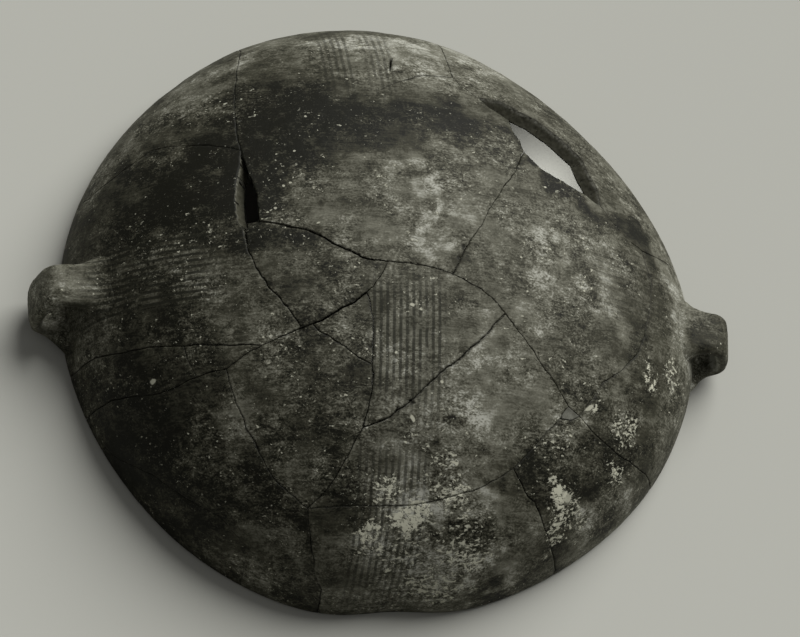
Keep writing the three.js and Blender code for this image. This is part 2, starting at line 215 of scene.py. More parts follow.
def rays_to(points):
    """Directions from the middle of the mouth to the points."""
    return points / np.linalg.norm(points, axis=1, keepdims=True)


def along_wall(normals, rays):
    """The part of each normal that runs along the wall, as a direction."""
    along = normals - rays * np.sum(normals * rays, axis=1, keepdims=True)
    return along / np.maximum(np.linalg.norm(along, axis=1, keepdims=True), LEAST_SIDEWAYS)


def clouds(points, size, octaves=1, seed=0.0):
    """Soft noise from -1 to 1 at each point, with features of the given size in metres."""
    shift = Vector((seed, 2.7 * seed, -1.3 * seed))
    if octaves == 1:
        return np.array([noise.noise(Vector(p) / size + shift) for p in points])
    return np.array([noise.fractal(Vector(p) / size + shift, 1.0, 2.0, octaves) for p in points])


def store(mesh, **layers):
    """Keeps layers of one number at each vertex for the material to read."""
    for name, values in layers.items():
        layer = mesh.attributes.new(name, "FLOAT", "POINT")
        layer.data.foreach_set("value", np.asarray(values, np.float32))


def take_solid(node):
    """A copy of a CAD node with its loose triangles joined, selected and active."""
    bpy.ops.object.select_all(action="DESELECT")
    name = node + "_clay"
    piece = bpy.data.objects.new(name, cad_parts[node].data.copy())
    piece.data.name = name
    piece.data.materials.clear()
    bpy.context.scene.collection.objects.link(piece)
    bpy.context.view_layer.objects.active = piece
    piece.select_set(True)
    bpy.ops.object.mode_set(mode="EDIT")
    bpy.ops.mesh.select_mode(type="EDGE")
    bpy.ops.mesh.select_all(action="SELECT")
    bpy.ops.mesh.remove_doubles(threshold=0.005 * MM)
    bpy.ops.object.mode_set(mode="OBJECT")
    return piece


def split_edges(piece, longest, tree=None, longest_at_break=0.0):
    """Cuts edges in half until none is longer than asked, or than asked beside a break."""
    mesh = piece.data
    beside, far = 2 * MM, 4 * MM
    for _ in range(9):
        ends = np.empty(len(mesh.edges) * 2, np.int32)
        mesh.edges.foreach_get("vertices", ends)
        points = read_points(mesh)[ends].reshape(-1, 2, 3)
        lengths = np.linalg.norm(points[:, 0] - points[:, 1], axis=1)
        too_long = lengths > longest
        if tree:
            doubtful = np.flatnonzero(~too_long & (lengths > longest_at_break))
            gap = distance_to(tree, points[doubtful].mean(axis=1), far)
            too_long[doubtful] = gap < beside
        if not too_long.any():
            break
        for kind in (mesh.vertices, mesh.polygons):
            kind.foreach_set("select", np.zeros(len(kind), bool))
        mesh.edges.foreach_set("select", too_long)
        bpy.ops.object.mode_set(mode="EDIT")
        bpy.ops.mesh.subdivide(number_cuts=1)
        bpy.ops.mesh.select_all(action="SELECT")
        bpy.ops.mesh.quads_convert_to_tris()
        bpy.ops.object.mode_set(mode="OBJECT")


def sort_faces(mesh):
    """Which points are on the outside of the wall, which inside, and the faces of its breaks.

    The faces of the breaks come as a tree to measure distances from.
    """
    skin_lean, break_lean, floor_lean = 0.6, 0.15, 0.95
    middle = Vector(mouth())
    outer, inner = (np.zeros(len(mesh.vertices), bool) for _ in range(2))
    breaks = []
    for face in mesh.polygons:
        lean = face.normal.dot((face.center - middle).normalized())
        if lean > skin_lean:
            outer[list(face.vertices)] = True
        elif lean < -skin_lean:
            inner[list(face.vertices)] = True
        elif abs(lean) < break_lean and abs(face.normal.z) < floor_lean:
            breaks.append(tuple(face.vertices))
    points = [vertex.co.copy() for vertex in mesh.vertices]
    return outer, inner, BVHTree.FromPolygons(points, breaks)


def distance_to(tree, points, far):
    """Distance from each point, measured from the mouth, to a tree's faces, far at most."""
    middle = Vector(mouth())
    found = (tree.find_nearest(Vector(point) + middle, far)[3] for point in points)
    return np.array([far if distance is None else distance for distance in found])


def apply_modifier(piece, kind, **settings):
    """Adds a modifier, sets its fields and applies it."""
    modifier = piece.modifiers.new(kind.title(), kind)
    for name, value in settings.items():
        setattr(modifier, name, value)
    bpy.ops.object.modifier_apply(modifier=modifier.name)


# The worn wall

def round_out(points):
    """Moves the flat facets of the plan out to its curve."""
    facet = math.radians(5)
    bearing = np.arctan2(points[:, 1], points[:, 0])
    corner = np.floor(bearing / facet) * facet
    first, second = rim_radius(corner), rim_radius(corner + facet)
    into = bearing - corner
    chord = first * second * math.sin(facet) / (
        first * np.sin(into) + second * np.sin(facet - into))
    points[:, :2] *= (rim_radius(bearing) / chord)[:, None]


def other_sherds(node):
    """The solids round a sherd, as a tree to measure the joints with."""
    points, faces = [], []
    for name in (*SHERDS, INFILL):
        if name != node:
            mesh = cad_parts[name].data
            faces += [[len(points) + index for index in face.vertices] for face in mesh.polygons]
            points += [vertex.co.copy() for vertex in mesh.vertices]
    return BVHTree.FromPolygons(points, faces)


def tightness(points):
    """How closely the sides of a joint fit at each point, from 0 to 1."""
    uneven = np.clip(0.15 + 1.8 * clouds(points, 18 * MM, seed=12.0), 0, 1)
    return np.maximum(uneven, np.clip(within(points, FAINT_BREAKS), 0, 1))


def set_joints(points, normals, gap, around):
    """Moves the sides of each joint together, to the width that is seen there."""
    wear = bpy.context.scene.bowl_wear
    middle = Vector(mouth())
    on_break, furthest, crumbled = 0.01 * MM, 1.6 * MM, 0.75 * MM
    here = np.flatnonzero(gap < on_break)
    side = points[here]
    along = along_wall(normals[here], rays_to(side))
    plain = wear.plain_joint + (wear.tight_joint - wear.plain_joint) * tightness(side)
    for index, place, way, wanted in zip(here, side, along, plain):
        start = Vector(place) + middle
        met = around.ray_cast(start, Vector(way), furthest)[3]
        if met is not None:
            wanted = wear.open_joint if met > crumbled else wanted
            points[index] += way * max(0.0, (met - wanted) / 2)


def bend_breaks(points):
    """Bends the breaks on a small scale, through the wall and alike on both sides."""
    sphere_radius, bend_size = 0.12, 6 * MM
    rays = rays_to(points)
    sphere = rays * sphere_radius
    push = np.stack([clouds(sphere, bend_size, octaves=3, seed=seed) for seed in (31, 47, 59)], 1)
    push -= rays * np.sum(push * rays, axis=1, keepdims=True)
    free = np.clip(points[:, 2] / RIM_HELD, 0, 1)[:, None]
    points += push * free * bpy.context.scene.bowl_wear.wander


def settle_on_wall(points, outer, inner):
    """Moves the points of both skins onto the curve of the wall, down to the lip."""
    above_lip = points[:, 2] > LIP_HEIGHT
    for skin, share in ((outer, outside_share(points)), (inner, inside_share(points))):
        chosen = skin & above_lip
        points[chosen] /= share[chosen, None]


def wear_base(points, outer):
    """Wears the middle of the base nearly flat, with a soft edge."""
    worn = bpy.context.scene.bowl_form.base_worn
    soft = 0.8 * MM
    over = points[outer, 2] - worn
    points[outer, 2] = worn - soft * np.logaddexp(0, -over / soft)


def model_wall(points):
    """Broad dents of the hand and small pits, the same on both sides of a break."""
    wear = bpy.context.scene.bowl_wear
    palm, fingertip, pit = 45 * MM, 14 * MM, 5 * MM
    reach = np.linalg.norm(points, axis=1, keepdims=True)
    swell = wear.paddling * clouds(points, palm)
    swell += 0.3 * wear.paddling * clouds(points, fingertip, seed=17.0)
    pits = wear.pitting * clouds(points, pit, octaves=3, seed=4.0)
    resting = np.clip(points[:, 2] / RIM_HELD, 0, 1)
    points *= 1 + ((swell + pits) * resting)[:, None] / reach


def wear_breaks(points, normals, outer, inner, gap, tight):
    """Wears and chips the edges along a break, and roughens the break itself.

    Returns how far each point is chipped, from 0 to 1.
    """
    wear = bpy.context.scene.bowl_wear
    crumb, roughness, grain = 6 * MM, 0.35 * MM, 2.4 * MM
    spared_when_tight = 0.7
    rays = rays_to(points)
    patchy = np.clip(0.6 + 1.3 * clouds(points, crumb, seed=9.0), 0.1, 1.5)
    edge = np.clip(1 - gap / wear.edge_width, 0, 1) ** 2
    loss = wear.edge_loss * edge * patchy * (1 - spared_when_tight * tight)
    chipped = np.zeros(len(points))
    for x, y, width, depth in CHIPS:
        across = ragged_distance(points, x, y, width)
        share = np.clip(1.5 * (1 - across), 0, 1)
        loss += depth * MM * share
        chipped = np.maximum(chipped, share)
    points -= rays * (loss * outer)[:, None]
    in_break = ~outer & ~inner & (gap < IN_BREAK)
    rough = roughness * (clouds(points, grain, octaves=3, seed=2.0) - 0.6)
    points[in_break] += normals[in_break] * rough[in_break, None]
    return chipped * outer


def within(points, spots):
    """How far each point lies inside soft ovals seen from above, added up.

    An oval is the x and y of its middle, half its width and length in millimetres in the
    frame, its turn in degrees and its strength.
    """
    faded, fade = 1.35, 0.9
    place = in_frame(points)
    total = np.zeros(len(points))
    for x, y, half_width, half_length, turn, strength in spots:
        cosine, sine = math.cos(math.radians(turn)), math.sin(math.radians(turn))
        right, up = place[:, 0] - x, place[:, 1] - y
        reach = np.hypot((right * cosine + up * sine) / half_width,
                         (up * cosine - right * sine) / half_length)
        share = np.clip((faded - reach) / fade, 0, 1)
        total += strength * share * share * (3 - 2 * share)
    return total


def ragged_distance(points, x, y, width):
    """Distance from a place seen from above as a share of a width, made uneven."""
    place = in_frame(points)
    flat = np.hypot(place[:, 0] - x, place[:, 1] - y) / width
    near = flat < 2
    flat[near] += 0.45 * clouds(points[near], 1.3 * MM, seed=77.0)
    return flat


def paint_attributes(mesh, points, sherd_tone):
    """Stores how pale the slip is, with some painted shade and painted light, and how much lime
    has grown at each point.
    """
    blackest = 0.48
    tone_push, tone_size, lime_push, lime_size = 11 * MM, 16 * MM, 5 * MM, 7 * MM
    uneven = points.copy()
    for axis, seed in ((0, 5.0), (1, 15.0)):
        uneven[:, axis] += tone_push * clouds(points, tone_size, octaves=4, seed=seed)
    dark = blackest * np.tanh(within(uneven, DARK_PATCHES) / blackest)
    store(mesh, pale=sherd_tone + within(uneven, PALE_PATCHES) - dark)
    for axis, seed in ((0, 25.0), (1, 35.0)):
        uneven[:, axis] = points[:, axis] + lime_push * clouds(
            points, lime_size, octaves=3, seed=seed)
    store(mesh, grown=np.clip(within(uneven, CRUST_PATCHES), 0, 1))


def finish_piece(piece, node, material):
    """Gives a piece its material and smooth shading, and puts it in place of its node."""
    crease = math.radians(48)
    piece.data.materials.append(material)
    bpy.ops.object.select_all(action="DESELECT")
    piece.select_set(True)
    bpy.context.view_layer.objects.active = piece
    bpy.ops.object.shade_smooth_by_angle(angle=crease)
    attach(piece, "root")
    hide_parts(node)


# Materials

def add(tree, kind, inputs=None, **settings):
    """Adds a node with its settings. An input is a value, or a node or socket to link."""
    node = tree.nodes.new(kind)
    for name, value in settings.items():
        setattr(node, name, value)
    for key, value in (inputs or {}).items():
        shown = [socket for socket in node.inputs if socket.enabled]
        socket = shown[key] if isinstance(key, int) else next(s for s in shown if s.name == key)
        if isinstance(value, bpy.types.Node):
            value = next(output for output in value.outputs if output.enabled)
        if isinstance(value, bpy.types.NodeSocket):
            tree.links.new(value, socket)
        else:
            socket.default_value = value
    return node


def new_material(name):
    """An empty material with its tree, output and principled shader."""
    material = bpy.data.materials.new(name)
    material.use_nodes = True
    tree = material.node_tree
    tree.nodes.clear()
    shader = add(tree, "ShaderNodeBsdfPrincipled")
    add(tree, "ShaderNodeOutputMaterial", {"Surface": shader})
    return material, tree, shader


def opaque(rgb):
    return (*rgb, 1.0)


def place_in_mm(tree):
    """Where a point of the surface is, in millimetres in the frame."""
    where = add(tree, "ShaderNodeTexCoord")
    return add(tree, "ShaderNodeVectorMath", {0: where.outputs["Object"], "Scale": 1000.0},
               operation="SCALE")


def ragged(tree, place, amount, size):
    """The place pushed about by noise, so that what is laid on it gets a ragged edge."""
    push = add(tree, "ShaderNodeTexNoise",
               {"Vector": place, "Scale": 1 / size, "Detail": 3.0, "Roughness": 0.6})
    centred = add(tree, "ShaderNodeVectorMath", {0: push.outputs["Color"], 1: (0.5, 0.5, 0.5)},
                  operation="SUBTRACT")
    scaled = add(tree, "ShaderNodeVectorMath", {0: centred, "Scale": 2 * amount},
                 operation="SCALE")
    return add(tree, "ShaderNodeVectorMath", {0: place, 1: scaled}, operation="ADD")


def flecks(tree, place, spots, strength):
    """Single flecks seen from above. Each is x, y, half width, half length and turn."""
    total = None
    for x, y, half_width, half_length, turn in spots:
        local = add(tree, "ShaderNodeMapping",
                    {"Vector": place, "Location": (x, y, 0),
                     "Rotation": (0, 0, math.radians(turn)),
                     "Scale": (half_width, half_length, 1e6)}, vector_type="TEXTURE")
        reach = add(tree, "ShaderNodeVectorMath", {0: local}, operation="LENGTH")
        fleck = add(tree, "ShaderNodeMapRange",
                    {"Value": reach.outputs["Value"], "From Min": 1.2, "From Max": 0.8,
                     "To Max": strength})
        total = fleck if total is None else add(
            tree, "ShaderNodeMath", {0: total, 1: fleck}, operation="MAXIMUM")
    return total


def speckle(tree, place, size, low, high, detail=2.0):
    """Ragged flecks of the given size in millimetres, from 0 to 1."""
    grain = add(tree, "ShaderNodeTexNoise",
                {"Vector": place, "Scale": 1 / size, "Detail": detail, "Roughness": 0.65})
    return add(tree, "ShaderNodeMapRange",
               {"Value": grain.outputs["Fac"], "From Min": low, "From Max": high})


# Bands of brush lines: middle x and y in mm, turn in degrees, half width, half length and
# how much of the paint is left
BRUSH_BANDS = (
    (-4.5, -47, 0, 17.5, 28, 0.85),
    (-4.5, -86, 0, 17.5, 12, 0.36),
    (-8.5, -120, 1, 16.5, 27, 0.75),
    (-116, -10.5, 90, 17.5, 27, 1.0),
    (-30, 104, 0, 7.5, 28, 0.6),
    (-10, 104, 0, 6.5, 28, 0.55),
    (112, -4, 90, 17.5, 26, 0.34),
)

# Fire clouds, thick slip and painted shade: x, y, half width, half length in mm, turn in degrees,
# strength
DARK_PATCHES = (
    (-100, 28, 36, 28, 8, 0.29), (-96, 62, 14, 14, 0, 0.16), (-66, 82, 16, 9, 0, 0.18),
    (-92, 32, 22, 16, 0, 0.16), (-60, 58, 28, 26, 12, 0.44), (-39, 64, 36, 18, 0, 0.46),
    (14, 70, 30, 10, -4, 0.36), (36, 72, 14, 7, -10, 0.2), (-54, 92, 30, 14, 0, 0.14),
    (-66, 34, 10, 22, 0, 0.16), (-74, 9, 16, 14, 0, 0.2), (-120, -72, 38, 36, 30, 0.16),
    (-54, -76, 18, 22, 0, 0.08), (-72, -122, 60, 22, -25, 0.12), (66, -96, 36, 12, 12, 0.16),
    # The thin patches turned -25 to -40 degrees by the far opening are dark staining and painted
    # shade along its lip
    (88, 40, 40, 7, -25, 0.26), (66, 49, 16, 6, -38, 0.28), (82, 34, 10, 6, -38, 0.2),
    (66, 72, 32, 6, -38, 0.12), (111, 26, 16, 7, -40, 0.22), (-19, -31, 6, 11, 0, 0.12),
    (-30, -62, 12, 20, 0, 0.08), (-118, -36, 16, 8, -10, 0.16), (-110, -29, 8, 8, 0, 0.2),
    (13, -84, 3.5, 2.5, 20, 0.3), (10, 58, 7, 4, 0, 0.3), (25, 55, 8, 3, 0, 0.26),
    (-51, 2, 14, 3, -18, 0.25), (112, -38, 12, 24, 0, 0.26), (100, -74, 18, 14, 0, 0.26),
    (150, -20, 5, 7, 0, 0.16), (-46, -44, 12, 8, 0, 0.24), (-34, -112, 9, 16, 0, 0.2),
    (73, -126, 14, 10, 0, 0.12), (98, -101, 10, 9, 0, 0.26), (54, -142, 20, 5, 0, 0.42),
    (34, -128, 8, 5, 0, 0.2), (57, 60, 12, 4, -38, 0.26), (6, 36, 8, 6, 0, 0.16),
    (122, 24, 6, 12, 0, 0.16), (0, -5, 6, 5, 0, 0.12), (-126, -8, 8, 18, 0, 0.16),
    (-124, 12, 20, 10, 0, 0.14), (-38, -98, 8, 20, 0, 0.1), (-14, -78, 10, 12, 0, 0.1),
    (-62, -2, 16, 8, -10, 0.12), (-17, 81, 10, 5, 0, 0.16), (8, 84, 8, 6, 0, 0.12),
    (6, 55, 9, 9, 0, 0.16), (-17, 36, 8, 6, 0, 0.14), (-137, -4, 5, 9, 0, 0.2),
    (52, -10, 8, 6, 0, 0.14), (26, -122, 9, 5, 0, 0.24), (48, -116, 10, 6, 0, 0.14),
    (62, -56, 8, 8, 0, 0.14), (6, -124, 30, 18, 0, 0.07), (36, -102, 10, 7, 0, 0.14),
    (-106, -14, 10, 12, 0, 0.16), (-116, 50, 20, 18, 0, 0.08),
)

# Where the slip is rubbed thin, and painted light on the rim that faces the key lamp
PALE_PATCHES = (
    (6, 20, 16, 20, 10, 0.1), (-4, -46, 18, 22, 0, 0.07), (-112, -8, 24, 15, 0, 0.09),
    (8, 20, 5, 14, 0, 0.36), (-66, 22, 8, 6, 0, 0.14), (53, -32, 12, 10, 0, 0.3),
    (18, -56, 10, 12, 0, 0.14), (28, -58, 8, 8, 0, 0.14), (-6, 46, 6, 8, 0, 0.2),
    (93, 44, 5, 7, 0, 0.2), (55, -131, 8, 5, 0, 0.22), (-4, -101, 7, 6, 0, 0.22),
    (8, 107, 36, 8, 0, 0.16), (-136, -58, 8, 28, 22, 0.12), (2, -127, 8, 7, 0, 0.2),
    (10, 1, 8, 8, 0, 0.3), (66, -12, 11, 11, 0, 0.26), (66, 7, 12, 8, 0, 0.26),
    (28, -40, 8, 8, 0, 0.14), (29, -78, 12, 8, 0, 0.3), (-22, 10, 28, 10, -5, 0.1),
    (-45, 16, 8, 8, 0, 0.12), (0, -117, 14, 8, 0, 0.46), (12, -121, 6, 6, 0, 0.16),
    (33, -111, 8, 4, 0, 0.3), (-14, -129, 10, 8, 0, 0.4), (12, -136, 16, 5, 0, 0.24),
    (35, -140, 10, 5, 0, 0.4), (55, 10, 44, 30, -10, 0.05), (-66, -50, 14, 11, 0, 0.1),
    (22, 44, 20, 9, 0, 0.08), (48, -62, 20, 14, 0, 0.16), (32, -52, 10, 14, 0, 0.16),
    (72, -78, 12, 8, 0, 0.2), (-74, -84, 12, 10, 0, 0.16), (137, -4, 8, 26, 0, 0.26),
    (-60, -12, 14, 8, 0, 0.08), (93, 8, 8, 12, 0, 0.22), (91, -15, 9, 9, 0, 0.24),
    # The wide patch at x 6, y 122 is rubbed slip with painted light on the north rim, which faces
    # the key lamp
    (6, 122, 60, 10, 0, 0.32), (-90, -22, 10, 10, 0, 0.16), (-152, -2, 4, 10, 0, 0.18),
    (153, 0, 10, 10, 0, 0.14), (147, -25, 6, 7, 0, 0.4), (-88, 98, 28, 9, 40, 0.24),
    (-94, -98, 10, 10, 0, 0.12), (-60, -132, 28, 11, -22, 0.34), (62, -92, 14, 8, 0, 0.1),
    (101, -107, 8, 26, -47, 0.34), (-132, 60, 9, 30, -28, 0.26), (76, 82, 8, 40, 48, 0.05),
    (-142, -30, 7, 10, 0, 0.12), (28, 12, 16, 12, 0, 0.1), (90, 26, 10, 6, -30, 0.1),
)

# Where lime from the ground has grown on the wall
CRUST_PATCHES = (
    (80, -109, 11, 8, 0, 0.62), (72, -116, 6, 10, 0, 0.66), (71, -102, 5, 4, 0, 0.9),
    (105, -70, 9, 7, 30, 0.55), (117, -44, 5, 9, 0, 0.7), (131, -36, 5, 9, 0, 0.5),
    (100, -88, 7, 4, 0, 0.6), (70, -82, 12, 6, 0, 0.3), (6, -122, 32, 18, 0, 0.36),
    (-12, -110, 8, 5, 0, 0.5), (0, -120, 9, 6, 0, 0.6), (-18, -129, 7, 7, 0, 0.6),
    (20, -110, 10, 5, 0, 0.5), (20, -141, 16, 4, 0, 0.55), (32, -132, 10, 6, 0, 0.55),
    (14, -98, 9, 5, 0, 0.5), (66, -50, 7, 5, 0, 0.4), (-55, 0, 8, 3, 0, 0.3),
    (-97, 2, 18, 8, 0, 0.25), (-66, -52, 12, 10, 0, 0.2), (4, -32, 9, 4, 0, 0.35),
    (0, -92, 12, 5, 0, 0.3), (86, -65, 5, 2, 35, 0.8), (60, 0, 9, 8, 0, 0.25),
)

# Single bright flecks of lime: x, y, half width, half length in mm, turn in degrees
LIME_FLECKS = (
    (-59.3, 27.6, 0.7, 0.6, 0), (-56.3, 29.1, 0.6, 0.5, 0), (-53.8, 46.6, 0.6, 0.5, 0),
    (-47.8, 67.1, 0.6, 0.5, 0), (-63.3, 15.6, 0.7, 0.6, 0), (-66.8, 13.6, 0.6, 0.5, 0),
    (-44.3, 7.6, 0.8, 0.5, 20), (-2.3, -31.4, 1.1, 0.8, 0), (-1.0, -82.0, 0.8, 1.6, 35),
    (-114.3, -59.9, 1.1, 1.1, 0), (11.7, -65.4, 0.8, 0.7, 0), (76.2, -103.9, 2.2, 1.8, 0),
    (84.0, -66.5, 2.6, 0.9, 35),
)

# Chips along the breaks: x, y, width and depth in mm
CHIPS = (
    (-8, -79, 1.5, 0.8), (-2, -75, 1.8, 0.9), (-29, -31, 1.8, 0.8), (22.5, -0.5, 2.0, 0.7),
    (20, -6, 1.4, 0.6), (-21.5, -52, 1.5, 0.5), (17, -14.5, 1.3, 0.5), (-52, -43.5, 1.5, 0.6),
)

# Joints that are hardly seen, as ovals like those above
FAINT_BREAKS = (
    (-98, -58, 18, 14, 0, 1), (20, 122, 9, 24, 0, 1), (100, -78, 22, 10, -10, 1),
    (58, -50, 24, 6, -49, 1), (-100, -105, 48, 12, -40, 1), (-34, -51, 16, 5, -33, 0.7),
    (115, -8, 6, 26, 0, 1), (106, 29, 14, 6, -39, 1), (38, 28, 7, 34, -28.6, 1),
    (26, -38, 5, 22, -64.6, 0.8), (-30, 122, 60, 12, 20, 0.8), (-92, 55, 20, 40, 20, 0.7),
    (-104, -42, 26, 6, 10, 0.7), (75, -82, 20, 8, 30, 1), (0, -108, 50, 8, 0, 0.6),
)


def brush_lines(tree, place, spacing, bands):
    """Parallel lines drawn at one stroke by a brush with many tips, worn away in places."""
    shaken = ragged(tree, place, amount=0.45, size=9.0)
    total = None
    for x, y, turn, half_width, half_length, left in bands:
        local = add(tree, "ShaderNodeMapping",
                    {"Vector": shaken, "Location": (x, y, 0),
                     "Rotation": (0, 0, math.radians(turn))}, vector_type="TEXTURE")
        axes = add(tree, "ShaderNodeSeparateXYZ", {0: local})
        phase = add(tree, "ShaderNodeMath", {0: axes.outputs["X"], 1: 2 * math.pi / spacing},
                    operation="MULTIPLY")
        wave = add(tree, "ShaderNodeMath", {0: phase}, operation="COSINE")
        line = add(tree, "ShaderNodeMapRange",
                   {"Value": wave, "From Min": -0.45, "From Max": 0.65, "To Max": left},
                   interpolation_type="SMOOTHSTEP")
        for axis, half, fade in (("X", half_width, 1.5), ("Y", half_length, 9.0)):
            size = add(tree, "ShaderNodeMath", {0: axes.outputs[axis]}, operation="ABSOLUTE")
            within_band = add(tree, "ShaderNodeMapRange",
                              {"Value": size, "From Min": half + fade, "From Max": half - fade})
            line = add(tree, "ShaderNodeMath", {0: line, 1: within_band},
                       operation="MULTIPLY")
        total = line if total is None else add(
            tree, "ShaderNodeMath", {0: total, 1: line}, operation="MAXIMUM")
    kept = speckle(tree, place, size=9.0, low=0.3, high=0.48, detail=3.0)
    return add(tree, "ShaderNodeMath", {0: total, 1: kept}, operation="MULTIPLY")


def worn_slip(tree, shaken, drawn, tone, busy):
    """How far the slip is worn, from 0 where it is thick to 1 where it is rubbed through.

    The strokes of the burnishing pebble, which run across the bowl, come with it.
    """
    pale = tone
    for size, weight, detail, alike in ((42.0, 0.5, 2.0, True), (12.0, 0.9, 5.0, True),
                                        (3.2, 1.4, 4.0, False), (0.8, 1.1, 2.0, False)):
        mottle = add(tree, "ShaderNodeTexNoise",
                     {"Vector": drawn, "Scale": 1 / size, "Detail": detail, "Roughness": 0.62})
        centred = add(tree, "ShaderNodeMath", {0: mottle.outputs["Fac"], 1: -0.5},
                      operation="ADD")
        if not alike:
            centred = add(tree, "ShaderNodeMath", {0: centred, 1: busy}, operation="MULTIPLY")
        pale = add(tree, "ShaderNodeMath", {0: centred, 1: weight, 2: pale},
                   operation="MULTIPLY_ADD")
    stroke_size = (15.0, 0.9, 3.0)
    along = add(tree, "ShaderNodeMapping",
                {"Vector": shaken, "Scale": [1 / size for size in stroke_size]})
    strokes = add(tree, "ShaderNodeTexNoise", {"Vector": along, "Scale": 1.0, "Detail": 3.0})
    stroke = add(tree, "ShaderNodeMath", {0: strokes.outputs["Fac"], 1: -0.5}, operation="ADD")
    pale = add(tree, "ShaderNodeMath", {0: stroke, 1: 0.42, 2: pale}, operation="MULTIPLY_ADD")
    return add(tree, "ShaderNodeClamp", {"Value": pale}), stroke


def lime_deposit(tree, place, drawn, tone, grown, busy):
    """Lime from the ground: specks everywhere, faint on thick slip, and a crust in places.

    The crust comes with it by itself, because it stands up from the wall.
    """
    specks = speckle(tree, place, size=1.1, low=0.66, high=0.72)
    on_slip = add(tree, "ShaderNodeMapRange",
                  {"Value": tone, "From Min": 0.02, "From Max": 0.3, "To Min": 0.3})
    for share in (busy, on_slip, 0.35):
        specks = add(tree, "ShaderNodeMath", {0: specks, 1: share}, operation="MULTIPLY")
    scabs = add(tree, "ShaderNodeTexNoise",
                {"Vector": drawn, "Scale": 1 / 1.7, "Detail": 3.0, "Roughness": 0.6})
    for cause, weight in ((busy, 0.09), (grown, 0.16)):
        scabs = add(tree, "ShaderNodeMath", {0: cause, 1: weight, 2: scabs},
                    operation="MULTIPLY_ADD")
    scabs = add(tree, "ShaderNodeMapRange",
                {"Value": scabs, "From Min": 0.73, "From Max": 0.79, "To Max": 0.8})
    thick = add(tree, "ShaderNodeMapRange", {"Value": grown, "From Min": 0.3})
    flakes = add(tree, "ShaderNodeTexNoise",
                 {"Vector": place, "Scale": 1 / 2.8, "Detail": 4.0, "Roughness": 0.6})
    flaky = add(tree, "ShaderNodeMath", {0: thick, 1: 0.27, 2: flakes},
                operation="MULTIPLY_ADD")
    crust = add(tree, "ShaderNodeMapRange",
                {"Value": flaky, "From Min": 0.71, "From Max": 0.76})
    single = flecks(tree, ragged(tree, place, amount=0.5, size=1.5), LIME_FLECKS, strength=0.7)
    lime = specks
    for more in (scabs, crust, single):
        lime = add(tree, "ShaderNodeMath", {0: lime, 1: more}, operation="MAXIMUM")
    return lime, crust


def clay_and_shade_in_break(tree, place, outside, tone):
    """The clay that a break shows, paler at the outside of the wall and darker inside it, a dark
    fired core with painted shade.
    """
    finish = bpy.context.scene.bowl_finish
    grain = speckle(tree, place, size=1.2, low=0.3, high=0.7)
    # Towards the inside of the wall the clay goes over to the slip's dark colour, partly a dark
    # core and partly painted shade
    for value, full, low, high in ((outside, 1.0, 0.1, 1.0), (tone, 0.6, 0.6, 1.3)):
        share = add(tree, "ShaderNodeMapRange",
                    {"Value": value, "From Max": full, "To Min": low, "To Max": high})
        grain = add(tree, "ShaderNodeMath", {0: grain, 1: share}, operation="MULTIPLY")
    return add(tree, "ShaderNodeMix",
               {"Factor": grain, "A": opaque(finish.slip), "B": opaque(finish.clay)},
               data_type="RGBA")


def dirt_and_shade_in_joints(tree, place, away, in_break, chipped):
    """Dirt along the joints, gone in places, and dirt with painted shade in the chips."""
    seam = add(tree, "ShaderNodeMapRange",
               {"Value": away, "From Min": 0.6, "From Max": 0.05, "To Max": 0.6})
    kept = speckle(tree, place, size=4.0, low=0.4, high=0.56)
    not_bare = add(tree, "ShaderNodeMath", {0: 1.0, 1: in_break}, operation="SUBTRACT")
    for share in (kept, not_bare):
        seam = add(tree, "ShaderNodeMath", {0: seam, 1: share}, operation="MULTIPLY")
    # The chips are darkened as dirt and as painted shade in their hollows
    in_chips = add(tree, "ShaderNodeMath", {0: chipped, 1: 0.85}, operation="MULTIPLY")
    return add(tree, "ShaderNodeMath", {0: seam, 1: in_chips}, operation="MAXIMUM")


